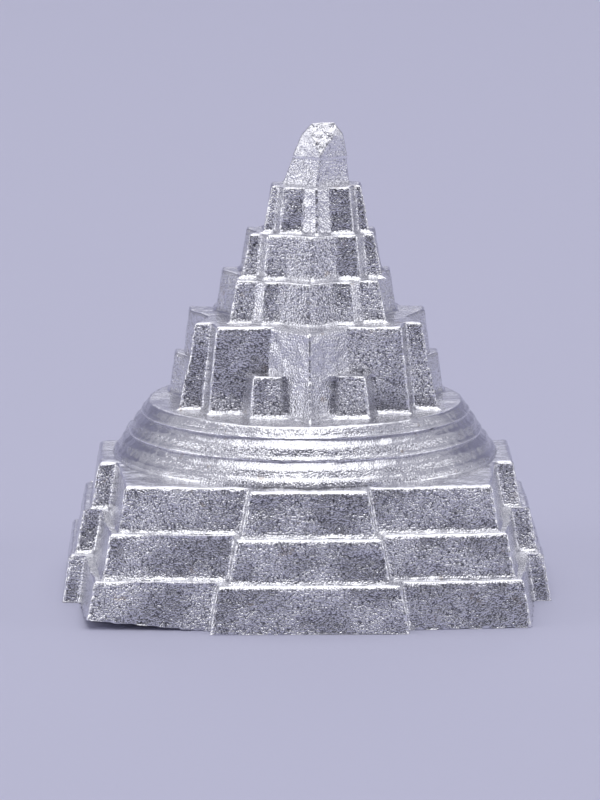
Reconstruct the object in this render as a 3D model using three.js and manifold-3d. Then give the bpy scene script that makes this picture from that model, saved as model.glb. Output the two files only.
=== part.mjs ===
// A small cast silver shri yantra in its raised form.
// Three square court steps with a gate on each side carry three round steps.
// Five star tiers stand on those, and a triangle with a ground cap ends the stack.
// Millimetres, +Z up, the front of the piece faces -Y, the flat underside is at z = 0.

import * as THREE from "three";
import * as BufferGeometryUtils from "three/addons/utils/BufferGeometryUtils.js";
import Module from "manifold-3d";

const wasm = await Module();
wasm.setup();

// Height of each step on its own. Every step stands on the one before it.
const COURT_LOWER_RISE = 3.0;
const COURT_MIDDLE_RISE = 2.73;
const COURT_UPPER_RISE = 2.84;
const RING_LOWER_RISE = 1.6;
const RING_MIDDLE_RISE = 1.23;
const RING_UPPER_RISE = 0.62;
const FOURTEEN_LOWER_RISE = 2.6;
const FOURTEEN_UPPER_RISE = 2.84;
const OUTER_TEN_RISE = 2.66;
const INNER_TEN_RISE = 2.75;
const EIGHT_RISE = 2.95;
const TRIANGLE_RISE = 1.78;
const CAP_RISE = 2.06;

const COURT_LOWER_TOP = COURT_LOWER_RISE;
const COURT_MIDDLE_TOP = COURT_LOWER_TOP + COURT_MIDDLE_RISE;
const COURT_UPPER_TOP = COURT_MIDDLE_TOP + COURT_UPPER_RISE;
const RING_LOWER_TOP = COURT_UPPER_TOP + RING_LOWER_RISE;
const RING_MIDDLE_TOP = RING_LOWER_TOP + RING_MIDDLE_RISE;
const RING_UPPER_TOP = RING_MIDDLE_TOP + RING_UPPER_RISE;
const FOURTEEN_LOWER_TOP = RING_UPPER_TOP + FOURTEEN_LOWER_RISE;
const FOURTEEN_UPPER_TOP = FOURTEEN_LOWER_TOP + FOURTEEN_UPPER_RISE;
const OUTER_TEN_TOP = FOURTEEN_UPPER_TOP + OUTER_TEN_RISE;
const INNER_TEN_TOP = OUTER_TEN_TOP + INNER_TEN_RISE;
const EIGHT_TOP = INNER_TEN_TOP + EIGHT_RISE;
const TRIANGLE_TOP = EIGHT_TOP + TRIANGLE_RISE;
const CAP_TOP = TRIANGLE_TOP + CAP_RISE;

// Court steps at their top edges. Each carries the next one and leaves a ledge free round it.
// The upper one is sized from the round steps that it carries, further down.
const COURT_MIDDLE_LEDGE = 0.96;
const COURT_LOWER_LEDGE = 0.99;
const WING_BOW = 0.6;
const COURT_DRAFT = 0.42;
const COURT_EDGE = 0.16;

// Gates: half the width of the upper one, the steps between them, and how far each stands out.
const GATE_UPPER_HALF = 3.75;
const GATE_MIDDLE_LEDGE = 0.82;
const GATE_LOWER_LEDGE = 1.17;
const GATE_UPPER_PROUD = 1.78;
const GATE_MIDDLE_PROUD = 1.84;
const GATE_LOWER_PROUD = 1.68;

// Round steps: the ledge round the star, then the ledge that each step leaves round the next.
const STAR_LEDGE = 0.35;
const RING_MIDDLE_LEDGE = 0.8;
const RING_LOWER_LEDGE = 0.82;
const RING_DRAFT = 0.15;
const LEDGE_RISE = 0.48;
const RING_SEGMENTS = 96;

// A low skirt sweeps from the court's top up to the round steps.
// It stays just inside the notches where the wings of the court meet its gates.
const SKIRT_WIDTH = 0.58;
const SKIRT_RISE = 0.43;
const SKIRT_MARGIN = 0.06;

// Star tiers: how far a foot stands out past its top edge, and the worn top edge.
const WIDE_DRAFT = 0.3;
const SLIM_DRAFT = 0.36;
const STAR_EDGE = 0.12;

// Half sizes of the star tiers at their top edges.
// ridge: the wedge on the centre line. wedge: its half width where it meets the flats.
// flat and depth: the outer corner of the flats. wing: the front side point.
// waist: the notch between the side points. tip: the rear side point.
const FOURTEEN_UPPER = {
  ridge: 7.6,
  wedge: 2.4,
  flat: 5.86,
  depth: 5.0,
  shoulder: 6.15,
  wing: 7.25,
  wingDepth: 3.35,
  waist: 6.4,
  waistDepth: 0.6,
  tip: 7.6,
  tipFront: 2.0,
  tipBack: 3.35,
};

const OUTER_TEN = {
  ridge: 4.6,
  wedge: 1.75,
  flat: 2.7,
  depth: 3.7,
  shoulder: 3.3,
  wing: 4.56,
  wingDepth: 3.1,
  waist: 4.3,
  waistDepth: 0.6,
  tip: 5.4,
  tipFront: 1.4,
  tipBack: 2.6,
};

const INNER_TEN = {
  ridge: 3.1,
  wedge: 1.6,
  flat: 2.8,
  depth: 2.25,
  shoulder: 3.3,
  wing: 4.0,
  wingDepth: 1.55,
  waist: 3.6,
  waistDepth: 0.2,
  tip: 4.15,
  tipFront: 0.9,
  tipBack: 1.8,
};

const EIGHT = {
  ridge: 1.95,
  wedge: 0.85,
  flat: 2.1,
  depth: 1.3,
  shoulder: 2.45,
  wing: 2.9,
  wingDepth: 0.6,
  waist: 2.75,
  waistDepth: 0.1,
  tip: 2.9,
  tipFront: 0.5,
  tipBack: 1.2,
};

// The foot of the fourteen-point star stands a ledge wider than its upper part all round,
// but its corners are flush with the foot of the upper part. A prong stands each side of
// the front wedge, with a groove between them.
const FOOT_LEDGE = 0.35;
const FOOT_RIDGE_LEDGE = 0.55;
const FOOT_TIP_LEDGE = 0.9;
const PRONG_DEPTH = 6.8;
const PRONG_OUTER = 3.5;
const PRONG_INNER = 1.75;
const PRONG_TAPER = 0.6;
const GROOVE_DEPTH = 6.0;
const GROOVE_HALF = 1.45;

// The casting leans a little to its own right, more at each tier.
const FOURTEEN_LEAN = 0.15;
const OUTER_TEN_LEAN = 0.1;
const INNER_TEN_LEAN = 0.4;
const EIGHT_LEAN = 0.7;
const CAP_LEAN = 0.95;
const CAP_TIP_LEAN = 1.15;

// The innermost triangle where it meets the cap, its point towards the front.
const TRIANGLE = { point: 0.88, side: 1.72, sideDepth: 0.48, rear: 1.63, rearDepth: 1.01, back: 1.14 };
const TRIANGLE_SPREAD = 1.25;

// The cap narrows twice. The metal was then ground off as a flat that slants to the front.
const CAP_SHOULDER_DROP = 0.7;
const CAP_SHOULDER_TAPER = 0.75;
const CAP_TIP_TAPER = 0.41;
const CAP_FLAT_TILT = 58;
const CAP_FLAT_RISE = 0.4;
const CAP_FLAT_DEPTH = 0.75;

const silver = { color: 0xd9d9dc, roughness: 0.32, metalness: 1.0 };

function dressed(name, geometry) {
  const material = new THREE.MeshStandardMaterial(silver);
  const mesh = new THREE.Mesh(geometry, material);
  mesh.name = name;
  return mesh;
}

function toManifold(geometry) {
  const bare = geometry.clone();
  bare.deleteAttribute("normal");
  bare.deleteAttribute("uv");
  const merged = BufferGeometryUtils.mergeVertices(bare, 1e-5);
  const description = {
    numProp: 3,
    vertProperties: new Float32Array(merged.attributes.position.array),
    triVerts: new Uint32Array(merged.index.array),
  };
  return new wasm.Manifold(new wasm.Mesh(description));
}

function fromManifold(solid) {
  const mesh = solid.getMesh();
  const geometry = new THREE.BufferGeometry();
  geometry.setAttribute("position", new THREE.BufferAttribute(mesh.vertProperties, 3));
  geometry.setIndex(new THREE.BufferAttribute(mesh.triVerts, 1));
  geometry.computeVertexNormals();
  return geometry;
}

// Moves every edge of a counterclockwise outline outward by the same distance.
function offsetOutline(points, distance) {
  const count = points.length;
  const moved = [];
  for (let i = 0; i < count; i += 1) {
    const here = points[i];
    const before = points[(i + count - 1) % count];
    const after = points[(i + 1) % count];
    const into = here.clone().sub(before).normalize();
    const out = after.clone().sub(here).normalize();
    const normalIn = new THREE.Vector2(into.y, -into.x);
    const normalOut = new THREE.Vector2(out.y, -out.x);
    const middle = normalIn.clone().add(normalOut);
    const reach = distance / (0.5 * middle.lengthSq());
    moved.push(here.clone().addScaledVector(middle, reach));
  }
  return moved;
}

// Skins a stack of outlines that all have the same number of points.
function loft(levels) {
  const count = levels[0].points.length;
  const positions = [];
  const indices = [];
  for (const level of levels) {
    for (const point of level.points) {
      positions.push(point.x, point.y, level.z);
    }
  }
  for (let k = 0; k + 1 < levels.length; k += 1) {
    for (let i = 0; i < count; i += 1) {
      const j = (i + 1) % count;
      const a = k * count + i;
      const b = k * count + j;
      indices.push(a, b, b + count);
      indices.push(a, b + count, a + count);
    }
  }
  const topStart = (levels.length - 1) * count;
  const bottomFaces = THREE.ShapeUtils.triangulateShape(levels[0].points, []);
  const topFaces = THREE.ShapeUtils.triangulateShape(levels[levels.length - 1].points, []);
  for (const [a, b, c] of bottomFaces) {
    indices.push(a, c, b);
  }
  for (const [a, b, c] of topFaces) {
    indices.push(topStart + a, topStart + b, topStart + c);
  }
  const geometry = new THREE.BufferGeometry();
  geometry.setAttribute("position", new THREE.Float32BufferAttribute(positions, 3));
  geometry.setIndex(indices);
  return geometry;
}

// How far an outline reaches from the axis.
function reachOf(outline) {
  return Math.max(...outline.map((point) => point.length()));
}

// Completes a right-hand half outline, listed from the front point to the back point.
function mirrored(half, lean) {
  const points = [];
  for (const [x, y] of half) {
    points.push(new THREE.Vector2(x + lean, y));
  }
  const inner = half.slice(1, -1).reverse();
  for (const [x, y] of inner) {
    points.push(new THREE.Vector2(lean - x, y));
  }
  return points;
}

// A star from its sizes. Front and back are alike but for the side points.
// Between the ridge and the flats come the points of face, as half width and depth.
function starOutline(star, face, lean) {
  const back = face.slice().reverse();
  const half = [
    [0, -star.ridge],
    ...face.map(([x, depth]) => [x, -depth]),
    [star.flat, -star.depth],
    [star.shoulder, -star.wingDepth],
    [star.wing, -star.wingDepth],
    [star.waist, -star.waistDepth],
    [star.tip, star.tipFront],
    [star.tip, star.tipBack],
    [star.shoulder, star.tipBack],
    [star.flat, star.depth],
    ...back,
    [0, star.ridge],
  ];
  return mirrored(half, lean);
}

function starTier(star, lean, draft, bottom, top) {
  const outline = starOutline(star, [[star.wedge, star.depth]], lean);
  return loft([
    { z: bottom, points: offsetOutline(outline, draft) },
    { z: top - STAR_EDGE, points: outline },
    { z: top, points: offsetOutline(outline, -STAR_EDGE) },
  ]);
}

// The foot of the fourteen-point star at its top edge, sized from its upper part.
function fourteenFootOutline() {
  const upper = FOURTEEN_UPPER;
  const foot = {
    ridge: upper.ridge + FOOT_RIDGE_LEDGE,
    flat: upper.flat + WIDE_DRAFT,
    depth: upper.depth + WIDE_DRAFT,
    shoulder: upper.shoulder + FOOT_LEDGE,
    wing: upper.wing + FOOT_RIDGE_LEDGE,
    wingDepth: upper.wingDepth + FOOT_LEDGE,
    waist: upper.waist + FOOT_RIDGE_LEDGE,
    waistDepth: upper.waistDepth,
    tip: upper.tip + FOOT_TIP_LEDGE,
    tipFront: upper.tipFront,
    tipBack: upper.tipBack + FOOT_LEDGE,
  };
  const face = [
    [GROOVE_HALF, GROOVE_DEPTH],
    [PRONG_INNER, PRONG_DEPTH],
    [PRONG_OUTER, PRONG_DEPTH],
    [PRONG_OUTER + PRONG_TAPER, foot.depth],
  ];
  return starOutline(foot, face, FOURTEEN_LEAN);
}

function fourteenFoot() {
  const outline = fourteenFootOutline();
  return loft([
    { z: RING_UPPER_TOP, points: offsetOutline(outline, WIDE_DRAFT) },
    { z: FOURTEEN_LOWER_TOP, points: outline },
  ]);
}

// The triangle, spread wider at its foot and narrower towards the tip of the cap.
function triangleOutline(spread, lean) {
  const half = [
    [0, -TRIANGLE.point],
    [TRIANGLE.side, TRIANGLE.sideDepth],
    [TRIANGLE.rear, TRIANGLE.rearDepth],
    [0, TRIANGLE.back],
  ];
  const sized = half.map(([x, y]) => [x * spread, y * spread]);
  return mirrored(sized, lean);
}

function triangleTier() {
  return loft([
    { z: EIGHT_TOP, points: triangleOutline(TRIANGLE_SPREAD, EIGHT_LEAN) },
    { z: TRIANGLE_TOP, points: triangleOutline(1, CAP_LEAN) },
  ]);
}

// The metal in front of the ground flat, as a block that is cut away from the cap.
function groundAway() {
  const span = 3 * TRIANGLE.side;
  const block = new THREE.BoxGeometry(span, span, span);
  block.translate(0, -span / 2, 0);
  block.rotateX(THREE.MathUtils.degToRad(CAP_FLAT_TILT - 90));
  block.translate(CAP_LEAN, -CAP_FLAT_DEPTH, TRIANGLE_TOP + CAP_FLAT_RISE);
  return block;
}

function cap() {
  const shoulder = CAP_TOP - CAP_SHOULDER_DROP;
  const blank = loft([
    { z: TRIANGLE_TOP, points: triangleOutline(1, CAP_LEAN) },
    { z: shoulder, points: triangleOutline(CAP_SHOULDER_TAPER, CAP_TIP_LEAN) },
    { z: CAP_TOP, points: triangleOutline(CAP_TIP_TAPER, CAP_TIP_LEAN) },
  ]);
  return fromManifold(toManifold(blank).subtract(toManifold(groundAway())));
}

// The round steps carry the star, so their radii follow from its farthest foot point.
const STAR_REACH = reachOf(offsetOutline(fourteenFootOutline(), WIDE_DRAFT));
const RING_UPPER_RADIUS = STAR_REACH + STAR_LEDGE;
const RING_MIDDLE_RADIUS = RING_UPPER_RADIUS + RING_MIDDLE_LEDGE;
const RING_LOWER_RADIUS = RING_MIDDLE_RADIUS + RING_LOWER_LEDGE;
const SKIRT_RADIUS = RING_LOWER_RADIUS + SKIRT_WIDTH;

// The court carries the skirt, so its corners follow from the notch that the skirt clears.
const NOTCH_HALF = GATE_UPPER_HALF - COURT_EDGE;
const NOTCH_DEPTH = Math.sqrt((SKIRT_RADIUS + SKIRT_MARGIN) ** 2 - NOTCH_HALF ** 2);
const COURT_UPPER_CORNER = NOTCH_DEPTH - WING_BOW + COURT_EDGE;
const COURT_MIDDLE_CORNER = COURT_UPPER_CORNER + COURT_MIDDLE_LEDGE;
const COURT_LOWER_CORNER = COURT_MIDDLE_CORNER + COURT_LOWER_LEDGE;
const GATE_MIDDLE_HALF = GATE_UPPER_HALF + GATE_MIDDLE_LEDGE;
const GATE_LOWER_HALF = GATE_MIDDLE_HALF + GATE_LOWER_LEDGE;

// One side of a court step, front side first, the other three by quarter turns.
function courtOutline(corner, gateHalf, gateProud) {
  const wing = corner + WING_BOW;
  const gate = corner + gateProud;
  const side = [
    new THREE.Vector2(-corner, -corner),
    new THREE.Vector2(-gateHalf, -wing),
    new THREE.Vector2(-gateHalf, -gate),
    new THREE.Vector2(gateHalf, -gate),
    new THREE.Vector2(gateHalf, -wing),
  ];
  const centre = new THREE.Vector2(0, 0);
  const points = [];
  for (let turn = 0; turn < 4; turn += 1) {
    for (const point of side) {
      points.push(point.clone().rotateAround(centre, (turn * Math.PI) / 2));
    }
  }
  return points;
}

function courtStep(outline, bottom, top) {
  return loft([
    { z: bottom, points: offsetOutline(outline, COURT_DRAFT) },
    { z: top - COURT_EDGE, points: outline },
    { z: top, points: offsetOutline(outline, -COURT_EDGE) },
  ]);
}

function circleOutline(radius) {
  const points = [];
  for (let i = 0; i < RING_SEGMENTS; i += 1) {
    const angle = (i / RING_SEGMENTS) * 2 * Math.PI;
    points.push(new THREE.Vector2(radius * Math.cos(angle), radius * Math.sin(angle)));
  }
  return points;
}

// The lowest round step: the skirt, a drafted wall, and a ledge up to the next step's foot.
function lowerRingStep() {
  return loft([
    { z: COURT_UPPER_TOP, points: circleOutline(SKIRT_RADIUS) },
    { z: COURT_UPPER_TOP + SKIRT_RISE, points: circleOutline(RING_LOWER_RADIUS + RING_DRAFT) },
    { z: RING_LOWER_TOP - LEDGE_RISE, points: circleOutline(RING_LOWER_RADIUS) },
    { z: RING_LOWER_TOP, points: circleOutline(RING_MIDDLE_RADIUS + RING_DRAFT) },
  ]);
}

function middleRingStep() {
  return loft([
    { z: RING_LOWER_TOP, points: circleOutline(RING_MIDDLE_RADIUS + RING_DRAFT) },
    { z: RING_MIDDLE_TOP - LEDGE_RISE, points: circleOutline(RING_MIDDLE_RADIUS) },
    { z: RING_MIDDLE_TOP, points: circleOutline(RING_UPPER_RADIUS + RING_DRAFT) },
  ]);
}

function upperRingStep() {
  return loft([
    { z: RING_MIDDLE_TOP, points: circleOutline(RING_UPPER_RADIUS + RING_DRAFT) },
    { z: RING_UPPER_TOP - STAR_EDGE, points: circleOutline(RING_UPPER_RADIUS) },
    { z: RING_UPPER_TOP, points: circleOutline(RING_UPPER_RADIUS - STAR_EDGE) },
  ]);
}

const yantra = new THREE.Group();
yantra.name = "shri_yantra";

const lowerCourt = courtOutline(COURT_LOWER_CORNER, GATE_LOWER_HALF, GATE_LOWER_PROUD);
const middleCourt = courtOutline(COURT_MIDDLE_CORNER, GATE_MIDDLE_HALF, GATE_MIDDLE_PROUD);
const upperCourt = courtOutline(COURT_UPPER_CORNER, GATE_UPPER_HALF, GATE_UPPER_PROUD);
yantra.add(dressed("court_step_lower", courtStep(lowerCourt, 0, COURT_LOWER_TOP)));
yantra.add(dressed("court_step_middle", courtStep(middleCourt, COURT_LOWER_TOP, COURT_MIDDLE_TOP)));
yantra.add(dressed("court_step_upper", courtStep(upperCourt, COURT_MIDDLE_TOP, COURT_UPPER_TOP)));

yantra.add(dressed("ring_step_lower", lowerRingStep()));
yantra.add(dressed("ring_step_middle", middleRingStep()));
yantra.add(dressed("ring_step_upper", upperRingStep()));

const fourteen = starTier(FOURTEEN_UPPER, FOURTEEN_LEAN, WIDE_DRAFT, FOURTEEN_LOWER_TOP, FOURTEEN_UPPER_TOP);
const outerTen = starTier(OUTER_TEN, OUTER_TEN_LEAN, SLIM_DRAFT, FOURTEEN_UPPER_TOP, OUTER_TEN_TOP);
const innerTen = starTier(INNER_TEN, INNER_TEN_LEAN, SLIM_DRAFT, OUTER_TEN_TOP, INNER_TEN_TOP);
const eight = starTier(EIGHT, EIGHT_LEAN, SLIM_DRAFT, INNER_TEN_TOP, EIGHT_TOP);
yantra.add(dressed("fourteen_point_tier_lower", fourteenFoot()));
yantra.add(dressed("fourteen_point_tier_upper", fourteen));
yantra.add(dressed("outer_ten_point_tier", outerTen));
yantra.add(dressed("inner_ten_point_tier", innerTen));
yantra.add(dressed("eight_point_tier", eight));

yantra.add(dressed("triangle_tier", triangleTier()));
yantra.add(dressed("bindu_cap", cap()));

export default yantra;
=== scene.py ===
"""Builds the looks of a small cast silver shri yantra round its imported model."""

from __future__ import annotations

import logging
import math
from dataclasses import dataclass, field
from enum import Enum
from typing import Any, Callable, Sequence

import bmesh
import bpy
import numpy as np
from mathutils import Matrix, Vector

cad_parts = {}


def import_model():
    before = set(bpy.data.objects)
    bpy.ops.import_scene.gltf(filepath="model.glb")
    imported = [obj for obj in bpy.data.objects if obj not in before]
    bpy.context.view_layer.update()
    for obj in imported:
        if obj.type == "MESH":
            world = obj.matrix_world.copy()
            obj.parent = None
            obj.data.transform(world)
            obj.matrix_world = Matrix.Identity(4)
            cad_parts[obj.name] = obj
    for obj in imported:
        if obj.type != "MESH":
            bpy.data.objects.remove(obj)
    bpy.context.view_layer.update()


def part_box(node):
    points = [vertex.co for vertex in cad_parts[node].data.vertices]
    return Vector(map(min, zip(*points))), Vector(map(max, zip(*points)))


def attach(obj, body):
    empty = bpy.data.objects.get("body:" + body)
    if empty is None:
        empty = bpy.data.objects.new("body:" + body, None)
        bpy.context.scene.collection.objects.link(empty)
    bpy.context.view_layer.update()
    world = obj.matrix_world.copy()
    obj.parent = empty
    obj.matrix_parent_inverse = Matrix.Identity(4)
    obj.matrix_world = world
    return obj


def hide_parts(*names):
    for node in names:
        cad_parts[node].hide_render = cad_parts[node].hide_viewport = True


LOG = logging.getLogger("shri_yantra")

MM = 0.001
WEAR_LAYER = "wear"
Point = tuple[float, float]
Place = tuple[float, float, float]
Colour = tuple[float, float, float, float]


class Wear(Enum):
    """Radius to which the top edge of a step has worn, in millimetres."""

    SOFT = 0.16
    RUBBED = 0.24


class Socket:
    """A node socket that can stand in arithmetic.

    Args:
        nodes: The tree builder that new Math nodes go to.
        socket: The output socket that this object wraps, or None for a node that has none.
    """

    def __init__(self, nodes: "Nodes", socket: bpy.types.NodeSocket | None) -> None:
        """Keeps the tree builder and the socket."""
        self.nodes = nodes
        self.socket = socket

    def _math(self, operation: str, first: Any, second: Any) -> "Socket":
        """Adds one Math node of the given operation and returns its result."""
        return self.nodes.add("ShaderNodeMath", {"operation": operation}, {0: first, 1: second})

    def __add__(self, other: Any) -> "Socket":
        """Sum."""
        return self._math("ADD", self, other)

    def __radd__(self, other: Any) -> "Socket":
        """Sum with the number on the left."""
        return self._math("ADD", other, self)

    def __sub__(self, other: Any) -> "Socket":
        """Difference."""
        return self._math("SUBTRACT", self, other)

    def __rsub__(self, other: Any) -> "Socket":
        """Difference with the number on the left."""
        return self._math("SUBTRACT", other, self)

    def __mul__(self, other: Any) -> "Socket":
        """Product."""
        return self._math("MULTIPLY", self, other)

    def __rmul__(self, other: Any) -> "Socket":
        """Product with the number on the left."""
        return self._math("MULTIPLY", other, self)

    def clamped(self) -> "Socket":
        """The value held between 0 and 1."""
        return self.nodes.add("ShaderNodeClamp", {}, {0: self})

    def band(self, low: float, high: float) -> "Socket":
        """A smooth step from 0 at low to 1 at high."""
        settings = {"interpolation_type": "SMOOTHSTEP"}
        return self.nodes.add("ShaderNodeMapRange", settings, {0: self, 1: low, 2: high})


class Nodes:
    """Builds one node tree.

    Args:
        tree: The tree to fill. It is emptied first.
    """

    def __init__(self, tree: bpy.types.NodeTree) -> None:
        """Empties the tree and keeps it."""
        tree.nodes.clear()
        self.tree = tree

    def add(self, kind: str, settings: dict[str, Any], inputs: dict[Any, Any], out: Any = 0) -> Socket:
        """Adds one node.

        Args:
            kind: The node's type.
            settings: Properties that are set before its sockets.
            inputs: Socket name or number to a value or a Socket.
            out: Name or number of the output to return.

        Returns:
            The chosen output, wrapped.
        """
        node = self.tree.nodes.new(kind)
        for name, value in settings.items():
            setattr(node, name, value)
        for key, value in inputs.items():
            if isinstance(value, Socket):
                self.tree.links.new(value.socket, node.inputs[key])
            else:
                node.inputs[key].default_value = value
        return Socket(self, node.outputs[out] if len(node.outputs) else None)

    def noise(self, place: Socket, size_mm: float, detail: float, rough: float = 0.5) -> Socket:
        """Noise in lumps about size_mm across, with detail finer octaves that count by rough."""
        values = {"Vector": place, "Scale": 1.0 / (size_mm * MM), "Detail": detail, "Roughness": rough}
        return self.add("ShaderNodeTexNoise", {"noise_dimensions": "3D"}, values, "Fac")

    def blend(self, share: Socket, first: Any, second: Any) -> Socket:
        """Mixes two colours: a share of 0 gives the first and 1 the second."""
        settings = {"data_type": "RGBA", "blend_type": "MIX"}
        return self.add("ShaderNodeMix", settings, {0: share, 6: first, 7: second}, 2)


@dataclass(frozen=True)
class CastSilver:
    """Silver as it comes from a sand-like mould, brightened by handling.

    The grain is the pitted skin of the casting. Its pits are dark, worn edges are bright, and a
    few brown spots of tarnish stay between them. On tops and on faces turned sideways the pits are
    thinned, which is painted light: it makes those faces lighter than the walls that face front.
    Sizes are in millimetres.

    Args:
        name: Name of the material.
        colour: The metal's plain colour.
        bright: Its colour where it is rubbed.
        hollow: Its colour in the pits.
        tarnish: Colour of the brown spots.
        grain_mm: Size of one grain.
        skin_mm: Size of the lumps that the grain lies on.
        cloud_mm: Size of the brighter and duller patches.
        spot_mm: Size of the brown spots.
        grain_depth: Height of the grain.
        rough_low: Roughness of the smoothest places.
        rough_high: Roughness of the roughest places.
        rough_band: Values of the skin between which it goes from smooth to rough.
        height_mix: Weights of grain and skin in the height.
        thin_cover: Share of the height where the grain is thin.
        cover_gain: What is added to it where the grain is full.
        patch_share: How bright the brightest patch is.
        rub_share: How bright a worn edge is.
        spot_share: How brown a spot is.
        edge_band: Wear at which an edge starts to brighten, and at which it is bright.
        pit_mix: Weights of grain and skin in the pits.
        pit_band: Value of that mix at which a pit starts, and at which it is dark.
        patch_band: Values between which a patch goes from dull to bright.
        cover_band: Values between which a patch goes from thin grain to full grain.
        spot_band: Values between which a brown spot goes from none to full.
        flank_band: Sideways slant, squared, between which a face goes from front to flank.
        level_band: Upward slant between which a face goes from wall to top.
        flank_calm: Share of the grain that is gone on a flank; thinning its dark pits there is painted
            light that makes the flank lighter.
        level_calm: Share of the grain that is gone on a top; thinning its dark pits there is painted light
            that makes the top lighter.
        edge_calm: Share of the grain that is gone on a bright edge.
    """

    name: str = "cast_silver"
    colour: Colour = (0.80, 0.80, 0.83, 1.0)
    bright: Colour = (0.93, 0.93, 0.95, 1.0)
    hollow: Colour = (0.30, 0.30, 0.33, 1.0)
    tarnish: Colour = (0.50, 0.43, 0.36, 1.0)
    grain_mm: float = 0.11
    skin_mm: float = 0.34
    cloud_mm: float = 3.2
    spot_mm: float = 1.4
    grain_depth: float = 0.105
    rough_low: float = 0.17
    rough_high: float = 0.27
    rough_band: Point = (0.3, 0.7)
    height_mix: Point = (0.8, 0.45)
    thin_cover: float = 0.65
    cover_gain: float = 0.7
    patch_share: float = 0.5
    rub_share: float = 0.9
    spot_share: float = 0.6
    edge_band: Point = (0.55, 0.8)
    pit_mix: Point = (0.88, 0.12)
    pit_band: Point = (0.5, 0.36)
    patch_band: Point = (0.35, 0.65)
    cover_band: Point = (0.38, 0.62)
    spot_band: Point = (0.63, 0.72)
    flank_band: Point = (0.08, 0.4)
    level_band: Point = (0.3, 0.7)
    flank_calm: float = 0.5
    level_calm: float = 0.7
    edge_calm: float = 0.6

    def grain_wear_and_facing_light(self, nodes: Nodes, edge: Socket) -> Socket:
        """Share of the grain that is left on each face.

        Args:
            nodes: The tree builder.
            edge: How bright a worn edge is.

        Returns:
            1 for full grain, 0 for none. It is less on tops and side-turned faces, where it thins the dark
            pits as painted light, and less on worn edges, as wear.
        """
        facing = nodes.add("ShaderNodeNewGeometry", {}, {}, "True Normal")
        sideways = nodes.add("ShaderNodeSeparateXYZ", {}, {0: facing}, "X")
        upward = nodes.add("ShaderNodeSeparateXYZ", {}, {0: facing}, "Z")
        # Facing masks: they thin the grain's bump and its dark pits by which way a face turns; the lighter
        # tone they give is painted light.
        flank = (sideways * sideways).band(*self.flank_band)
        level = upward.band(*self.level_band)
        return (1 - self.level_calm * level) * (1 - self.flank_calm * flank) * (1 - self.edge_calm * edge)

    def build(self) -> bpy.types.Material:
        """Makes the material.

        Returns:
            The finished material.
        """
        material = bpy.data.materials.new(self.name)
        material.use_nodes = True
        nodes = Nodes(material.node_tree)
        place = nodes.add("ShaderNodeTexCoord", {}, {}, "Object")
        worn = nodes.add("ShaderNodeAttribute", {"attribute_name": WEAR_LAYER}, {}, "Fac")
        grain = nodes.noise(place, self.grain_mm, detail=0.6)
        skin = nodes.noise(place, self.skin_mm, detail=2.0)
        cloud = nodes.noise(place, self.cloud_mm, detail=3.0)
        spots = nodes.noise(place, self.spot_mm, detail=4.0, rough=0.7)
        edge = worn.band(*self.edge_band)
        grain_wear_and_facing_light = self.grain_wear_and_facing_light(nodes, edge)
        pit = (grain * self.pit_mix[0] + skin * self.pit_mix[1]).band(*self.pit_band)
        cover = self.thin_cover + self.cover_gain * cloud.band(*self.cover_band)
        height = (grain * self.height_mix[0] + skin * self.height_mix[1]) * cover * grain_wear_and_facing_light
        patch = cloud.band(*self.patch_band) * self.patch_share
        base = nodes.blend(patch, self.colour, self.bright)
        # Dark pits, thinned by the facing share. This is painted light that leaves tops and side-turned
        # faces lighter than front walls, and wear on rubbed edges.
        pitted = nodes.blend(pit * grain_wear_and_facing_light, base, self.hollow)
        rubbed = nodes.blend(edge * self.rub_share, pitted, self.bright)
        spot = spots.band(*self.spot_band) * (1 - edge) * self.spot_share
        stained = nodes.blend(spot, rubbed, self.tarnish)
        rough = self.rough_low + (self.rough_high - self.rough_low) * skin.band(*self.rough_band)
        bump_values = {"Strength": 1.0, "Distance": self.grain_depth * MM, "Height": height}
        bump = nodes.add("ShaderNodeBump", {}, bump_values)
        shader_values = {
            "Base Color": stained,
            "Metallic": 1.0,
            "Roughness": rough,
            "Normal": bump,
        }
        shader = nodes.add("ShaderNodeBsdfPrincipled", {}, shader_values)
        nodes.add("ShaderNodeOutputMaterial", {}, {"Surface": shader})
        return material


@dataclass(frozen=True)
class PaleGround:
    """The seamless pale lilac ground that the piece is photographed on.

    Args:
        name: Name of the material.
        colour: Its colour.
        roughness: Its roughness.
        weave_mm: Size of the unevenness of the sheet, in millimetres.
        weave_depth: Height of that unevenness, in millimetres.
        weave_strength: How strongly it shows.
    """

    name: str = "pale_ground"
    colour: Colour = (0.60, 0.60, 0.74, 1.0)
    roughness: float = 0.9
    weave_mm: float = 0.5
    weave_depth: float = 0.05
    weave_strength: float = 0.3

    def build(self) -> bpy.types.Material:
        """Makes the material.

        Returns:
            The finished material.
        """
        material = bpy.data.materials.new(self.name)
        material.use_nodes = True
        nodes = Nodes(material.node_tree)
        place = nodes.add("ShaderNodeTexCoord", {}, {}, "Object")
        weave = nodes.noise(place, self.weave_mm, detail=2.0)
        bump_values = {"Strength": self.weave_strength, "Distance": self.weave_depth * MM, "Height": weave}
        bump = nodes.add("ShaderNodeBump", {}, bump_values)
        shader_values = {"Base Color": self.colour, "Roughness": self.roughness, "Normal": bump}
        shader = nodes.add("ShaderNodeBsdfPrincipled", {}, shader_values)
        nodes.add("ShaderNodeOutputMaterial", {}, {"Surface": shader})
        return material


# Odd numbers and two shifts that scatter a lattice corner's whole numbers into 24 bits.
SCATTER_X = 73856093
SCATTER_Y = 19349663
SCATTER_Z = 83492791
SCATTER_SEED = 2654435761
SCATTER_AGAIN = 1274126177
FIRST_SHIFT = 13
SECOND_SHIFT = 16
LOW_BITS = 0xFFFFFF
HALF_RANGE = 0x7FFFFF

# Where the lattice starts, far enough out that no piece reaches its zero, and the step per seed.
LATTICE_START = 57.0
LATTICE_STEP = 13.7


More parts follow.
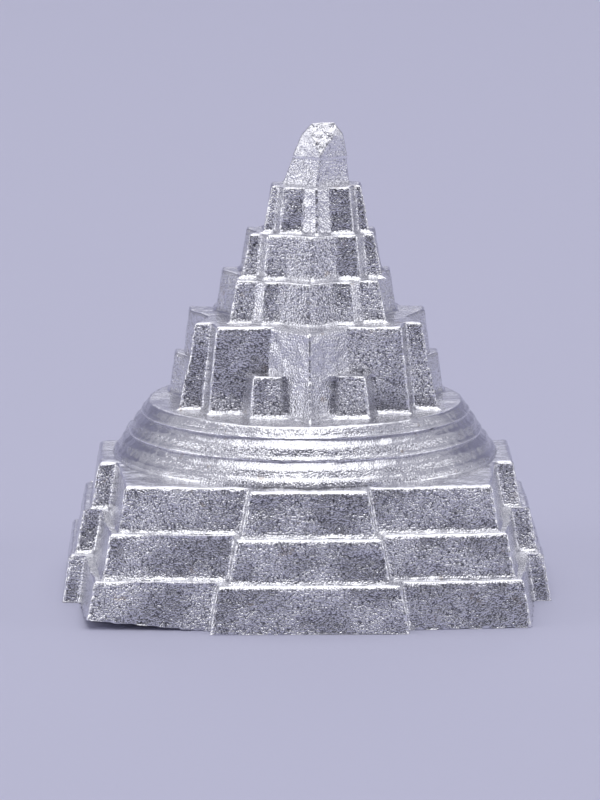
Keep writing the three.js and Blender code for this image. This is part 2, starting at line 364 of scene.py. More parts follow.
def lattice_noise(points: np.ndarray, size: float, seed: int) -> np.ndarray:
    """Smooth noise from -1 to 1 whose lumps are about size across.

    Args:
        points: Places to read it at, one row each.
        size: Size of a lump, in the unit of the points.
        seed: Picks another pattern.

    Returns:
        One value for each point.
    """
    scaled = points / size + LATTICE_START + LATTICE_STEP * seed
    cell = np.floor(scaled).astype(np.int64)
    part = scaled - cell
    part = part * part * (3.0 - 2.0 * part)
    total = np.zeros(len(points))
    for corner in range(8):
        step = np.array([corner & 1, corner >> 1 & 1, corner >> 2 & 1])
        at = cell + step
        mixed = at[:, 0] * SCATTER_X ^ at[:, 1] * SCATTER_Y ^ at[:, 2] * SCATTER_Z ^ seed * SCATTER_SEED
        mixed = (mixed ^ (mixed >> FIRST_SHIFT)) * SCATTER_AGAIN
        value = ((mixed ^ (mixed >> SECOND_SHIFT)) & LOW_BITS) / HALF_RANGE - 1.0
        weight = np.prod(np.where(step, part, 1.0 - part), axis=1)
        total += value * weight
    return total


def offset_outline(points: Sequence[Point], distance: float) -> list[Point]:
    """Moves every edge of a counterclockwise outline outward.

    Args:
        points: The outline.
        distance: How far each edge moves.

    Returns:
        The moved outline, with as many points.
    """
    ring = [Vector(point) for point in points]
    moved = []
    for i, here in enumerate(ring):
        into = (here - ring[i - 1]).normalized()
        out = (ring[(i + 1) % len(ring)] - here).normalized()
        middle = Vector((into.y + out.y, -into.x - out.x))
        place = here + middle * (distance / (0.5 * middle.length_squared))
        moved.append((place.x, place.y))
    return moved


def inside(points: np.ndarray, outline: Sequence[Point]) -> np.ndarray:
    """Tells which points lie inside an outline.

    Args:
        points: Rows whose first two numbers are x and y.
        outline: A closed outline.

    Returns:
        True for each point inside.
    """
    x, y = points[:, 0], points[:, 1]
    found = np.zeros(len(points), dtype=bool)
    for i, (x1, y1) in enumerate(outline):
        x0, y0 = outline[i - 1]
        if y0 == y1:
            continue
        crosses = (y0 > y) != (y1 > y)
        found ^= crosses & (x < (x1 - x0) * (y - y0) / (y1 - y0) + x0)
    return found


def height_span(node: str) -> Point:
    """Lowest and highest height of a CAD node, in millimetres, to the nearest micrometre."""
    low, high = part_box(node)
    return round(low.z / MM, 3), round(high.z / MM, 3)


def vertex_rows(values: bpy.types.bpy_prop_collection, name: str) -> np.ndarray:
    """Reads one vector of each vertex.

    Args:
        values: The mesh's vertices or their normals.
        name: The vector's name there.

    Returns:
        One row of three numbers for each vertex.
    """
    flat = np.empty(len(values) * 3)
    values.foreach_get(name, flat)
    return flat.reshape(-1, 3)


def neighbour_mean(values: np.ndarray, edges: np.ndarray) -> np.ndarray:
    """Mean of the values at each vertex's neighbours.

    Args:
        values: One number for each vertex.
        edges: The two vertices of each edge.

    Returns:
        One number for each vertex.
    """
    count = len(values)
    degree = np.bincount(edges.ravel(), minlength=count).clip(1)
    total = np.bincount(edges[:, 0], values[edges[:, 1]], count)
    total += np.bincount(edges[:, 1], values[edges[:, 0]], count)
    return total / degree


# Rings that make up the hollow at the foot of a wall and the worn edge at its top.
FILLET_STEPS = 4
WEAR_STEPS = 3

# How far the fine mesh is smoothed.
SMOOTH_FACTOR = 0.5
SMOOTH_ROUNDS = 3

# What is swapped for a plain lid: the sunk part below this share of the sink, what lies this near
# the top under the next piece, and what lies this near the table this far inside the foot.
SUNK_SHARE = 0.6
COVER_DEPTH = 0.3
TABLE_DEPTH = 0.2
TABLE_RIM = 0.8

# Size of the broadest unevenness, then size, depth and change of seed of each finer one.
BROAD_LUMP = 3.0
FINER_LUMPS = ((0.95, 0.035, 40), (0.36, 0.02, 80))

# How far the uneven surface lies back on average, and the height of a ridge that wears fully.
SURFACE_BACK = 0.03
WORN_RIDGE = 0.012


@dataclass
class Casting:
    """One step of the casting: an outline raised to a wall with worn edges.

    Sizes are in millimetres.

    Args:
        name: Name of the new piece.
        node: CAD node that it stands for.
        outline: Outline at the top edge of the wall.
        bottom: Height of the foot.
        top: Height of the top edge of the wall.
        draft: How far the foot stands out past the top edge.
        seed: Picks the unevenness.
        wear: How the top edge has worn.
        fillet: Radius of the hollow where the wall meets the step below.
        sink: How far the piece reaches into the step below, 0 for a foot on the table.
        ledge: Outline and height that the top slopes up to, if it slopes.
        covered: Outline of the part of the top that the next piece hides.
        skirt: Outline and height of a low rim under the wall, if there is one.
        voxel: Size of the cells of the fine mesh.
        wobble: Depth of the broadest unevenness.
        shape: A last change to the vertices, if there is one.
        slot: Name of the record's material slot for its finish. Not used.
        levels: Height and outline of each ring of the wall. Left empty, they follow the sizes.
    """

    name: str
    node: str
    outline: list[Point]
    bottom: float
    top: float
    draft: float
    seed: int
    wear: Wear = Wear.SOFT
    fillet: float = 0.16
    sink: float = 0.25
    ledge: tuple[list[Point], float] | None = None
    covered: list[Point] | None = None
    skirt: tuple[list[Point], float] | None = None
    voxel: float = 0.11
    wobble: float = 0.05
    shape: Callable[[np.ndarray], np.ndarray] | None = None
    slot: str = "cast_silver"
    levels: list[tuple[float, list[Point]]] = field(default_factory=list)

    def profile(self) -> None:
        """Fills levels from the foot up to the top."""
        foot = self.bottom
        if self.skirt:
            outline, rise = self.skirt
            self.levels.append((foot - self.sink, outline))
            self.levels.append((foot, outline))
            foot += rise
        elif self.sink > 0:
            sunk = offset_outline(self.outline, self.draft + self.fillet)
            self.levels.append((foot - self.sink, sunk))
        for step in range(FILLET_STEPS + 1):
            rise = self.fillet * step / FILLET_STEPS
            back = self.fillet - math.sqrt(max(0.0, self.fillet**2 - (self.fillet - rise) ** 2))
            self.levels.append((foot + rise, offset_outline(self.outline, self.draft + back)))
        worn = self.wear.value
        for step in range(WEAR_STEPS + 1):
            turn = step / WEAR_STEPS * math.pi / 2
            height = self.top - worn * (1 - math.sin(turn))
            inset = worn * (1 - math.cos(turn))
            self.levels.append((height, offset_outline(self.outline, -inset)))
        if self.ledge:
            outline, height = self.ledge
            self.levels.append((height, outline))

    def blank(self) -> bpy.types.Mesh:
        """Skins the levels into a closed mesh.

        Returns:
            The plain mesh, in millimetres.
        """
        made = bmesh.new()
        rings = []
        for height, outline in self.levels:
            rings.append([made.verts.new((x, y, height)) for x, y in outline])
        count = len(rings[0])
        for low, high in zip(rings, rings[1:]):
            for i in range(count):
                j = (i + 1) % count
                made.faces.new((low[i], low[j], high[j], high[i]))
        made.faces.new(list(reversed(rings[0])))
        made.faces.new(rings[-1])
        bmesh.ops.triangulate(made, faces=made.faces[:])
        mesh = bpy.data.meshes.new(self.name)
        made.to_mesh(mesh)
        made.free()
        return mesh

    def softened(self, mesh: bpy.types.Mesh) -> bpy.types.Mesh:
        """Remeshes the blank finely and rounds it as a casting is.

        Args:
            mesh: The plain mesh.

        Returns:
            A fine mesh with rounded edges.
        """
        holder = bpy.data.objects.new(self.name + "_blank", mesh)
        bpy.context.scene.collection.objects.link(holder)
        remesh = holder.modifiers.new("remesh", "REMESH")
        remesh.mode = "VOXEL"
        remesh.voxel_size = self.voxel
        smooth = holder.modifiers.new("smooth", "SMOOTH")
        smooth.factor = SMOOTH_FACTOR
        smooth.iterations = SMOOTH_ROUNDS
        graph = bpy.context.evaluated_depsgraph_get()
        fine = bpy.data.meshes.new_from_object(holder.evaluated_get(graph))
        bpy.data.objects.remove(holder)
        return fine

    def hidden(self, centres: np.ndarray) -> np.ndarray:
        """Picks the faces that the steps below and above or the table hide.

        Args:
            centres: Centre of each face.

        Returns:
            True for each hidden face.
        """
        if self.sink > 0:
            found = centres[:, 2] < self.bottom - SUNK_SHARE * self.sink
        else:
            foot = offset_outline(self.outline, self.draft - TABLE_RIM)
            found = inside(centres, foot) & (centres[:, 2] < self.bottom + TABLE_DEPTH)
        if self.covered:
            found |= inside(centres, self.covered) & (centres[:, 2] > self.top - COVER_DEPTH)
        return found

    def trimmed(self, mesh: bpy.types.Mesh) -> None:
        """Swaps the hidden fine faces for a plain fan at each end.

        Args:
            mesh: The fine mesh, changed in place.
        """
        made = bmesh.new()
        made.from_mesh(mesh)
        made.faces.ensure_lookup_table()
        centres = np.array([face.calc_center_median() for face in made.faces])
        doomed = [made.faces[i] for i in np.flatnonzero(self.hidden(centres))]
        bmesh.ops.delete(made, geom=doomed, context="FACES")
        rims = [edge for edge in made.edges if edge.is_boundary]
        lids = bmesh.ops.holes_fill(made, edges=rims, sides=0)["faces"]
        bmesh.ops.poke(made, faces=lids)
        made.to_mesh(mesh)
        made.free()

    def uneven(self, places: np.ndarray, normals: np.ndarray) -> np.ndarray:
        """Moves the surface in and out as a hand-made mould leaves it.

        Args:
            places: The vertices.
            normals: Their normals.

        Returns:
            The moved vertices.
        """
        lift = self.wobble * lattice_noise(places, BROAD_LUMP, self.seed)
        for size, depth, change in FINER_LUMPS:
            lift += depth * lattice_noise(places, size, self.seed + change)
        return places + normals * (lift - SURFACE_BACK)[:, None]

    def wear_map(self, mesh: bpy.types.Mesh, places: np.ndarray, normals: np.ndarray) -> np.ndarray:
        """Works out how worn each vertex is, from how far it stands out past its neighbours.

        Args:
            mesh: The mesh, for its edges.
            places: The vertices.
            normals: Their normals.

        Returns:
            0 in a hollow, 0.5 on a flat and 1 on a ridge.
        """
        edges = np.empty(len(mesh.edges) * 2, dtype=np.int64)
        mesh.edges.foreach_get("vertices", edges)
        edges = edges.reshape(-1, 2)
        mean = np.stack([neighbour_mean(places[:, axis], edges) for axis in range(3)], axis=1)
        ridge = np.einsum("ij,ij->i", places - mean, normals)
        for _ in range(2):
            ridge = 0.5 * ridge + 0.5 * neighbour_mean(ridge, edges)
        return 0.5 + 0.5 * np.clip(ridge / WORN_RIDGE, -1, 1)

    def weathered(self, mesh: bpy.types.Mesh) -> None:
        """Gives the mesh its uneven surface and its wear, and brings it to metres.

        Args:
            mesh: The fine mesh, changed in place.
        """
        normals = vertex_rows(mesh.vertex_normals, "vector")
        places = self.uneven(vertex_rows(mesh.vertices, "co"), normals)
        if self.shape:
            places = self.shape(places)
        wear = self.wear_map(mesh, places, normals)
        mesh.vertices.foreach_set("co", (places * MM).ravel())
        layer = mesh.attributes.new(WEAR_LAYER, "FLOAT", "POINT")
        layer.data.foreach_set("value", wear)
        mesh.update()

    def build(self, material: bpy.types.Material) -> None:
        """Makes the piece and sets it in the frame.

        Args:
            material: Its finish.
        """
        if not self.levels:
            self.profile()
        mesh = self.softened(self.blank())
        self.trimmed(mesh)
        self.weathered(mesh)
        mesh.name = self.name
        mesh.shade_smooth()
        mesh.materials.clear()
        mesh.materials.append(material)
        piece = bpy.data.objects.new(self.name, mesh)
        bpy.context.scene.collection.objects.link(piece)
        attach(piece, "root")
        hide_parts(self.node)
        LOG.info("%s: %d faces", self.name, len(mesh.polygons))


@dataclass
class CourtSteps:
    """The three square steps with a gate in the middle of each side.

    Sizes are in millimetres and run from the lowest step up.

    Args:
        names: The steps' names.
        corners: Distance from the middle to each side at the corners.
        gate_halves: Half of each gate's width.
        gate_reaches: Distance from the middle to each gate's face.
        bow: How much further out a side stands beside the gate than at the corners.
        draft: How far a foot stands out past its top edge.
        fillet: Radius of the hollow at the foot of the upper two.
        table_fillet: Radius of that on the table.
        sink: How far the upper two reach into the step below.
        tuck: How far inside the next step's foot the hidden part of a top starts.
        first_seed: Seed of the lowest step.
        raised: How far the left front corner of the foot is lifted.
        raised_from: Distance from the middle at which the lift starts.
        raised_over: Distance over which it grows.
        raised_height: Height at which it has faded out.
    """

    names: tuple[str, ...] = ("lower", "middle", "upper")
    corners: tuple[float, ...] = (13.39, 12.4, 11.44)
    gate_halves: tuple[float, ...] = (5.74, 4.57, 3.75)
    gate_reaches: tuple[float, ...] = (15.07, 14.24, 13.22)
    bow: float = 0.6
    draft: float = 0.42
    fillet: float = 0.18
    table_fillet: float = 0.06
    sink: float = 0.25
    tuck: float = 0.3
    first_seed: int = 11
    raised: float = 0.55
    raised_from: float = 6.5
    raised_over: float = 7.0
    raised_height: float = 2.0

    def outline(self, step: int) -> list[Point]:
        """Outline of one step at its top edge.

        Args:
            step: 0 for the lowest.

        Returns:
            The counterclockwise outline.
        """
        corner, half, reach = self.corners[step], self.gate_halves[step], self.gate_reaches[step]
        wing = corner + self.bow
        side = [(-corner, -corner), (-half, -wing), (-half, -reach), (half, -reach), (half, -wing)]
        points = []
        for turn in range(4):
            swing = Matrix.Rotation(turn * math.pi / 2, 2)
            points += [tuple(swing @ Vector(point)) for point in side]
        return points

    def build(self, finish: bpy.types.Material, above: list[Point]) -> None:
        """Builds the steps.

        Args:
            finish: Their material.
            above: Outline that hides the middle of the highest one.
        """
        for step, name in enumerate(self.names):
            node = f"court_step_{name}"
            bottom, top = height_span(node)
            on_table = step == 0
            last = step == len(self.names) - 1
            piece = Casting(
                name=f"court_{name}",
                node=node,
                outline=self.outline(step),
                bottom=bottom,
                top=top,
                draft=self.draft,
                seed=self.first_seed + step,
                wear=Wear.RUBBED,
                sink=0.0 if on_table else self.sink,
                fillet=self.table_fillet if on_table else self.fillet,
                covered=above if last else offset_outline(self.outline(step + 1), self.draft - self.tuck),
                shape=self.settle if on_table else None,
            )
            piece.build(finish)

    def settle(self, places: np.ndarray) -> np.ndarray:
        """Lifts the foot a little at its left front corner, and keeps it above the table.

        Args:
            places: Vertices, in millimetres.

        Returns:
            The moved vertices.
        """
        x, y, z = places.T
        leftward = np.clip((-x - self.raised_from) / self.raised_over, 0, 1)
        forward = np.clip((-y - self.raised_from) / self.raised_over, 0, 1)
        low = np.clip(1 - z / self.raised_height, 0, 1)
        lifted = z + self.raised * (leftward * forward) * low
        return np.stack([x, y, np.maximum(lifted, 0.0)], axis=1)


@dataclass
class RoundSteps:
    """The three round steps with sloping ledges.

    Sizes are in millimetres and run from the lowest step up.

    Args:
        names: The steps' names.
        radii: Radius of each wall at its top edge.
        wall_tops: Height of each wall's top edge, from which its ledge slopes up.
        skirt_radius: Radius of the rim under the lowest wall.
        skirt_rise: Height of that rim.
        draft: How far a foot stands out past its top edge.
        fillet: Radius of the hollow at a foot.
        segments: Straight stretches in one round.
        star_cover: Radius within which the star hides the highest step.
        ledge_gap: How far outside the next wall a ledge ends.
        tuck: How far inside the next wall the hidden part starts.
        court_tuck: How far inside the lowest wall the hidden part of the court starts.
        first_seed: Seed of the lowest step.
    """

    names: tuple[str, ...] = ("lower", "middle", "upper")
    radii: tuple[float, ...] = (11.77, 10.95, 10.15)
    wall_tops: tuple[float, ...] = (9.69, 10.92, 12.02)
    skirt_radius: float = 12.35
    skirt_rise: float = 0.43
    draft: float = 0.15
    fillet: float = 0.25
    segments: int = 128
    star_cover: float = 7.0
    ledge_gap: float = 0.1
    tuck: float = 0.5
    court_tuck: float = 0.4
    first_seed: int = 21

    def circle(self, radius: float) -> list[Point]:
        """A counterclockwise circle."""
        turns = [2 * math.pi * i / self.segments for i in range(self.segments)]
        return [(radius * math.cos(turn), radius * math.sin(turn)) for turn in turns]

    def footprint(self) -> list[Point]:
        """Outline within which the round steps hide the court."""
        return self.circle(self.radii[0] - self.court_tuck)

    def build(self, finish: bpy.types.Material) -> None:
        """Builds the steps.

        Args:
            finish: Their material.
        """
        for step, name in enumerate(self.names):
            node = f"ring_step_{name}"
            bottom, top = height_span(node)
            first = step == 0
            last = step == len(self.names) - 1
            inner = self.star_cover if last else self.radii[step + 1]
            piece = Casting(
                name=f"ring_{name}",
                node=node,
                outline=self.circle(self.radii[step]),
                bottom=bottom,
                top=self.wall_tops[step],
                draft=self.draft,
                seed=self.first_seed + step,
                wear=Wear.RUBBED,
                fillet=self.fillet,
                ledge=None if last else (self.circle(inner + self.ledge_gap), top),
                covered=self.circle(inner - self.tuck),
                skirt=(self.circle(self.skirt_radius), self.skirt_rise) if first else None,
            )
            piece.build(finish)


@dataclass
class StarTier:
    """One star-shaped tier. Sizes are in millimetres.

    Args:
        name: Name of the new piece.
        node: CAD node that it stands for.
        half: The right half of its outline at the top edge, front to back.
        lean: How far it stands to the right.
        bottom: Height of its foot.
        top: Height of its top.
        draft: How far its foot stands out past its top edge.
        seed: Picks its unevenness.
        fillet: Radius of the hollow at its foot.
        tuck: How far inside the next tier's top edge the hidden part starts.
        voxel: Size of the cells of its fine mesh.
        wobble: Depth of its broadest unevenness.
    """

    name: str
    node: str
    half: list[Point]
    lean: float
    bottom: float
    top: float
    draft: float
    seed: int
    fillet: float = 0.24
    tuck: float = 0.2
    voxel: float = 0.09
    wobble: float = 0.035

    def outline(self) -> list[Point]:
        """The whole outline, leant to the right.

        Returns:
            The counterclockwise outline.
        """
        right = [(x + self.lean, y) for x, y in self.half]
        left = [(self.lean - x, y) for x, y in reversed(self.half[1:-1])]
        return right + left

    def build(self, finish: bpy.types.Material, above: StarTier | None) -> None:
        """Builds the tier.

        Args:
            finish: Its material.
            above: The tier that stands on it, if there is one.
        """
        piece = Casting(
            name=self.name,
            node=self.node,
            outline=self.outline(),
            bottom=self.bottom,
            top=self.top,
            draft=self.draft,
            seed=self.seed,
            fillet=self.fillet,
            covered=offset_outline(above.outline(), -self.tuck) if above else None,
            voxel=self.voxel,
            wobble=self.wobble,
        )
        piece.build(finish)


@dataclass
class Star:
    """The star tiers from the fourteen-point foot up to the eight-point one.

    Sizes are in millimetres.

    Args:
        corner_depth: Distance from the middle to the fourteen-point tier's front and back sides.
        corner_half: Half of the length of those sides.
        prong_depth: Distance from the middle to the front of the prongs.
        prong_half: Distance from the middle to the outer side of a prong.
        wide_draft: Draft of the fourteen-point tier.
        slim_draft: Draft of the tiers above it.
        tuck: How far the fourteen-point foot stays inside the wall above it.
        fourteen_lean: How far the fourteen-point tier stands to the right.
        outer_ten_lean: The same for the outer ten-point tier.
        inner_ten_lean: The same for the inner ten-point tier.
        eight_lean: The same for the eight-point tier.
        first_seed: Seed of the lowest tier.
    """

    corner_depth: float = 5.0
    corner_half: float = 5.86
    prong_depth: float = 6.8
    prong_half: float = 3.5
    wide_draft: float = 0.3
    slim_draft: float = 0.36
    tuck: float = 0.22
    fourteen_lean: float = 0.15
    outer_ten_lean: float = 0.1
    inner_ten_lean: float = 0.4
    eight_lean: float = 0.7
    first_seed: int = 31

    def foot_half(self) -> list[Point]:
        """Right half of the fourteen-point foot, with its prongs.

        Returns:
            The points, front to back.
        """
        flush, half = self.corner_depth + self.wide_draft, self.corner_half + self.wide_draft
        prong, deep = self.prong_half, self.prong_depth
        inset = flush - self.tuck
        front = [(0, -8.15), (1.45, -6.0), (1.75, -deep), (prong, -deep), (4.1, -inset)]
        side = [(half - self.tuck, -inset), (6.5, -3.7), (7.8, -3.7), (6.95, -0.6)]
        side += [(8.5, 2.2), (8.5, 3.7), (6.5, 3.7), (half - self.tuck, inset)]
        back = [(4.1, inset), (prong, deep), (1.75, deep), (1.45, 6.0), (0, 8.15)]
        return front + side + back

    def fourteen_half(self) -> list[Point]:
        """Right half of the upper part of the fourteen-point tier.

        Returns:
            The points, front to back.
        """
        depth, corner = self.corner_depth, self.corner_half
        front = [(0, -7.6), (2.4, -depth), (corner, -depth), (6.15, -3.35), (7.25, -3.35), (6.4, -0.6)]
        back = [(7.6, 2.0), (7.6, 3.35), (6.15, 3.35), (corner, depth), (2.4, depth), (0, 7.6)]
        return front + back

    def outer_ten_half(self) -> list[Point]:
        """Right half of the outer ten-point tier.

        Returns:
            The points, front to back.
        """
        front = [(0, -4.6), (1.75, -3.7), (2.7, -3.7), (3.3, -3.1), (4.56, -3.1), (4.3, -0.6)]
        back = [(5.4, 1.4), (5.4, 2.6), (3.3, 2.6), (2.7, 3.7), (1.75, 3.7), (0, 4.6)]
        return front + back

    def inner_ten_half(self) -> list[Point]:
        """Right half of the inner ten-point tier.

        Returns:
            The points, front to back.
        """
        front = [(0, -3.1), (1.6, -2.25), (2.8, -2.25), (3.3, -1.55), (4.0, -1.55), (3.6, -0.2)]
        back = [(4.15, 0.9), (4.15, 1.8), (3.3, 1.8), (2.8, 2.25), (1.6, 2.25), (0, 3.1)]
        return front + back

    def eight_half(self) -> list[Point]:
        """Right half of the eight-point tier.

        Returns:
            The points, front to back.
        """
        front = [(0, -1.95), (0.85, -1.3), (2.1, -1.3), (2.45, -0.6), (2.9, -0.6), (2.75, -0.1)]
        back = [(2.9, 0.5), (2.9, 1.2), (2.45, 1.2), (2.1, 1.3), (0.85, 1.3), (0, 1.95)]
        return front + back

    def fourteen(self) -> list[StarTier]:
        """The two pieces of the fourteen-point tier.

        The upper one runs down inside the foot, so that no seam shows between them.

        Returns:
            The foot and the upper piece.
        """
        foot_node, upper_node = "fourteen_point_tier_lower", "fourteen_point_tier_upper"
        foot, joint = height_span(foot_node)
        top = height_span(upper_node)[1]
        lean, draft, seed = self.fourteen_lean, self.wide_draft, self.first_seed
        deep_draft = draft * (top - foot) / (top - joint)
        foot_half, upper_half = self.foot_half(), self.fourteen_half()
        return [
            StarTier("star_foot", foot_node, foot_half, lean, foot, joint, draft, seed),
            StarTier("star_fourteen", upper_node, upper_half, lean, foot, top, deep_draft, seed + 1),
        ]

    def tiers(self) -> list[StarTier]:
        """All tiers, lowest first.

        Returns:
            The tiers.
        """
        found = self.fourteen()
        slim = (
            ("outer_ten", self.outer_ten_half(), self.outer_ten_lean),
            ("inner_ten", self.inner_ten_half(), self.inner_ten_lean),
            ("eight", self.eight_half(), self.eight_lean),
        )
        for name, half, lean in slim:
            node = f"{name}_point_tier"
            bottom, top = height_span(node)
            seed = self.first_seed + len(found)
            found.append(StarTier(f"star_{name}", node, half, lean, bottom, top, self.slim_draft, seed))
        return found

    def build(self, finish: bpy.types.Material) -> None:
        """Builds the tiers.

        Args:
            finish: Their material.
        """
        tiers = self.tiers()
        for tier, above in zip(tiers, tiers[1:] + [None]):
            tier.build(finish, above)


@dataclass
class Crown:
    """The innermost triangle and the cap whose casting gate was ground off.

    Sizes are in millimetres. Each pair of scale and lean gives the outline's size against the
    full triangle, and how far it stands to the right.

    Args:
        half: The right half of the full triangle's outline, front to back.
        at_foot: Scale and lean at the triangle's foot.
        at_fillet: Scale and lean just above it.
        at_joint: Scale and lean where the cap starts.
        in_joint: Scale and lean of the cap's sunk end.
        at_shoulder: Scale and lean where the cap starts to close.
        at_top: Scale and lean at the cap's top.
        triangle_sink: How far the triangle reaches into the tier below.
        triangle_voxel: Size of the cells of its fine mesh.
        triangle_wobble: Depth of its broadest unevenness.
        fillet_rise: Height of the narrowing at its foot.
        cap_sink: How far the cap reaches into the triangle.
        cap_voxel: Size of the cells of its fine mesh.
        cap_wobble: Depth of its broadest unevenness.
        shoulder_drop: How far below the top the shoulder lies.
        flat_tilt: Slant of the ground flat against level, in degrees.
        flat_height: Height of a point on it.
        flat_depth: Distance of that point in front of the middle.
        scratch_size: Size of its roughness.
        scratch_depth: Depth of its roughness.
        scratch_seed: Picks the pattern of its roughness.
        triangle_seed: Picks the triangle's unevenness.
        cap_seed: Picks the cap's unevenness.
    """

    half: tuple[Point, ...] = ((0, -1.0), (1.95, 0.55), (1.85, 1.15), (0, 1.3))
    at_foot: Point = (1.14, 0.7)
    at_fillet: Point = (1.09, 0.72)
    at_joint: Point = (0.88, 0.95)
    in_joint: Point = (0.9, 0.93)
    at_shoulder: Point = (0.66, 1.1)
    at_top: Point = (0.36, 1.15)
    triangle_sink: float = 0.25
    triangle_voxel: float = 0.07
    triangle_wobble: float = 0.03
    fillet_rise: float = 0.15
    cap_sink: float = 0.3
    cap_voxel: float = 0.06
    cap_wobble: float = 0.1
    shoulder_drop: float = 0.7
    flat_tilt: float = 58.0
    flat_height: float = 28.0
    flat_depth: float = 0.75
    scratch_size: float = 0.3
    scratch_depth: float = 0.05
    scratch_seed: int = 91
    triangle_seed: int = 41
    cap_seed: int = 42

    def outline(self, scale: float, lean: float) -> list[Point]:
        """The triangle's outline.

        Args:
            scale: Its size against the full one.
            lean: How far it stands to the right.

        Returns:
            The counterclockwise outline.
        """
        right = [(x * scale + lean, y * scale) for x, y in self.half]
        left = [(lean - x * scale, y * scale) for x, y in reversed(self.half[1:-1])]
        return right + left

    def triangle(self) -> Casting:
        """The triangle.

        Returns:
            The piece, ready to build.
        """
        node = "triangle_tier"
        bottom, top = height_span(node)
        foot = self.outline(*self.at_foot)
        return Casting(
            name="triangle",
            node=node,
            outline=self.outline(*self.at_joint),
            bottom=bottom,
            top=top,
            draft=0.0,
            seed=self.triangle_seed,
            sink=self.triangle_sink,
            voxel=self.triangle_voxel,
            wobble=self.triangle_wobble,
            levels=[
                (bottom - self.triangle_sink, foot),
                (bottom, foot),
                (bottom + self.fillet_rise, self.outline(*self.at_fillet)),
                (top, self.outline(*self.at_joint)),
            ],
        )

    def cap(self) -> Casting:
        """The cap.

        Returns:
            The piece, ready to build.
        """
        node = "bindu_cap"
        bottom, top = height_span(node)
        return Casting(
            name="cap",
            node=node,
            outline=self.outline(*self.at_joint),
            bottom=bottom,
            top=top,
            draft=0.0,
            seed=self.cap_seed,
            sink=self.cap_sink,
            voxel=self.cap_voxel,
            wobble=self.cap_wobble,
            shape=self.ground,
            slot="ground_silver",
            levels=[
                (bottom - self.cap_sink, self.outline(*self.in_joint)),
                (bottom, self.outline(*self.at_joint)),
                (top - self.shoulder_drop, self.outline(*self.at_shoulder)),
                (top, self.outline(*self.at_top)),
            ],
        )

    def ground(self, places: np.ndarray) -> np.ndarray:
        """Presses what stands in front of the ground flat back onto it.

        Args:
            places: Vertices, in millimetres.

        Returns:
            The moved vertices.
        """
        tilt = math.radians(self.flat_tilt)
        normal = np.array([0.0, -math.sin(tilt), math.cos(tilt)])
        ahead = (places - np.array([0.0, -self.flat_depth, self.flat_height])) @ normal
        rough = self.scratch_depth * lattice_noise(places, self.scratch_size, self.scratch_seed)
        above_joint = places[:, 2] > height_span("bindu_cap")[0]
        push = np.maximum(ahead - rough, 0.0) * above_joint
        return places - push[:, None] * normal

    def build(self, finish: bpy.types.Material, bright: bpy.types.Material) -> None:
        """Builds the triangle in the first material and the cap in the second."""
        self.triangle().build(finish)
        self.cap().build(bright)


@dataclass(frozen=True)
class Lamp:
    """One soft square lamp that faces the piece. Sizes are in metres.

    Args:
        name: Its name.
        place: Where it hangs.
        size: Length of its sides.
        power: Its power in watts.
        aim: The point that it faces.
    """

    name: str
    place: Place
    size: float
    power: float
    aim: Place = (0.0, 0.0, 0.012)

    def hang(self) -> None:
        """Hangs the lamp in the scene."""
        light = bpy.data.lights.new(self.name, "AREA")
        light.size = self.size
        light.energy = self.power
        holder = bpy.data.objects.new(self.name, light)
        holder.location = self.place
        way = Vector(self.aim) - Vector(self.place)
        holder.rotation_euler = way.to_track_quat("-Z", "Y").to_euler()
        bpy.context.scene.collection.objects.link(holder)


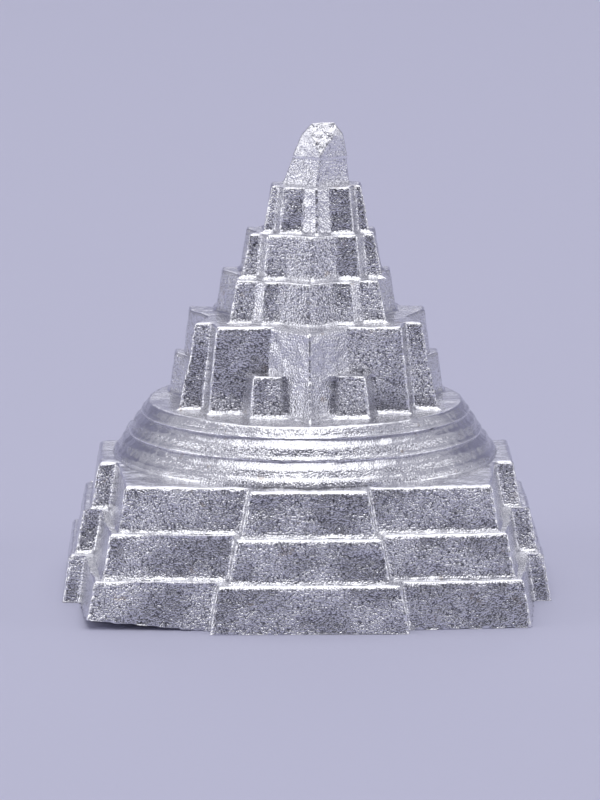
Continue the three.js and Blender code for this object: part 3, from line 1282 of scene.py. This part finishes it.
@dataclass
class Studio:
    """The pale ground, the soft lights and the camera of the photograph.

    Sizes are in metres and angles in radians.

    Args:
        lamps: The lamps.
        lens: The camera's focal length, in millimetres.
        sensor: Width of its sensor, in millimetres.
        place: Where it stands.
        pitch: How far it looks down.
        yaw: How far it turns to the right.
        nearest: Nearest distance that it sees.
        furthest: Furthest distance that it sees.
        low_light: Colour of the room's darker parts.
        high_light: Colour of its brighter parts.
        above_band: Upward slant between which the room goes from dark to bright.
        aside_band: Sideways slant, squared, between which it does so.
        floor_width: Width of the floor.
        floor_front: Its front edge.
        backdrop: Distance of the upright backdrop behind the piece.
        backdrop_height: Height of the backdrop.
        bend: Radius of the bend between them.
        bend_steps: Stretches in the bend.
    """

    lamps: tuple[Lamp, ...] = (
        Lamp("top", (0.0, 0.1, 1.2), 1.25, 4.9),
        Lamp("front", (-0.1, -0.7, 1.0), 0.45, 1.3),
        Lamp("back", (0.0, 1.3, 0.9), 0.8, 1.6),
        Lamp("left", (-1.2, -0.25, 0.45), 0.7, 1.8),
        Lamp("right", (1.2, -0.15, 0.45), 0.6, 1.1),
    )
    lens: float = 238.3
    sensor: float = 36.0
    place: Place = (-0.00639, -0.33333, 0.07314)
    pitch: float = 0.1818
    yaw: float = 0.0182
    nearest: float = 0.01
    furthest: float = 10.0
    low_light: Colour = (0.05, 0.05, 0.06, 1.0)
    high_light: Colour = (0.42, 0.42, 0.49, 1.0)
    above_band: Point = (0.15, 0.8)
    aside_band: Point = (0.12, 0.7)
    floor_width: float = 3.0
    floor_front: float = -1.0
    backdrop: float = 1.6
    backdrop_height: float = 1.6
    bend: float = 0.6
    bend_steps: int = 12

    def floor_rows(self) -> list[Point]:
        """Depth and height of each row of the floor, from its front edge up the backdrop.

        Returns:
            The rows.
        """
        bend_start = self.backdrop - self.bend
        rows = [(self.floor_front, 0.0), (bend_start, 0.0)]
        for i in range(1, self.bend_steps + 1):
            turn = i / self.bend_steps * math.pi / 2
            depth = bend_start + self.bend * math.sin(turn)
            rows.append((depth, self.bend - self.bend * math.cos(turn)))
        rows.append((self.backdrop, self.backdrop_height))
        return rows

    def ground(self) -> None:
        """Lays a floor that curves up into a backdrop far behind the piece."""
        made = bmesh.new()
        sides = (-self.floor_width / 2, self.floor_width / 2)
        lines = [[made.verts.new((x, y, z)) for x in sides] for y, z in self.floor_rows()]
        for low, high in zip(lines, lines[1:]):
            made.faces.new((low[0], low[1], high[1], high[0]))
        mesh = bpy.data.meshes.new("ground")
        made.to_mesh(mesh)
        made.free()
        mesh.shade_smooth()
        mesh.materials.append(PaleGround().build())
        floor = bpy.data.objects.new("ground", mesh)
        bpy.context.scene.collection.objects.link(floor)

    def camera(self) -> None:
        """Places the camera where the photograph was taken from."""
        data = bpy.data.cameras.new("camera")
        data.lens = self.lens
        data.sensor_width = self.sensor
        data.clip_start = self.nearest
        data.clip_end = self.furthest
        holder = bpy.data.objects.new("camera", data)
        holder.location = self.place
        holder.rotation_euler = (math.pi / 2 - self.pitch, 0.0, -self.yaw)
        bpy.context.scene.collection.objects.link(holder)
        bpy.context.scene.camera = holder

    def world(self) -> None:
        """Fills the room with soft light that is brighter above and at the sides."""
        world = bpy.data.worlds.new("room")
        world.use_nodes = True
        nodes = Nodes(world.node_tree)
        way = nodes.add("ShaderNodeTexCoord", {}, {}, "Generated")
        height = nodes.add("ShaderNodeSeparateXYZ", {}, {0: way}, "Z")
        aside = nodes.add("ShaderNodeSeparateXYZ", {}, {0: way}, "X")
        open_room = (height.band(*self.above_band) + (aside * aside).band(*self.aside_band)).clamped()
        sky = nodes.blend(open_room, self.low_light, self.high_light)
        glow = nodes.add("ShaderNodeBackground", {}, {"Color": sky, "Strength": 1.0})
        nodes.add("ShaderNodeOutputWorld", {}, {"Surface": glow})
        bpy.context.scene.world = world

    def build(self) -> None:
        """Sets up the whole studio."""
        self.ground()
        for lamp in self.lamps:
            lamp.hang()
        self.world()
        self.camera()
        bpy.context.scene.view_settings.view_transform = "Standard"


def main() -> None:
    """Builds the piece, its finishes and the studio."""
    logging.basicConfig(level=logging.INFO, format="%(name)s: %(message)s")
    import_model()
    silver = CastSilver().build()
    ground_finish = CastSilver(name="ground_silver", rough_low=0.24, rough_high=0.4, grain_depth=0.06)
    ground_silver = ground_finish.build()
    rounds = RoundSteps()
    CourtSteps().build(silver, rounds.footprint())
    rounds.build(silver)
    Star().build(silver)
    Crown().build(silver, ground_silver)
    Studio().build()


if __name__ == "__main__":
    main()
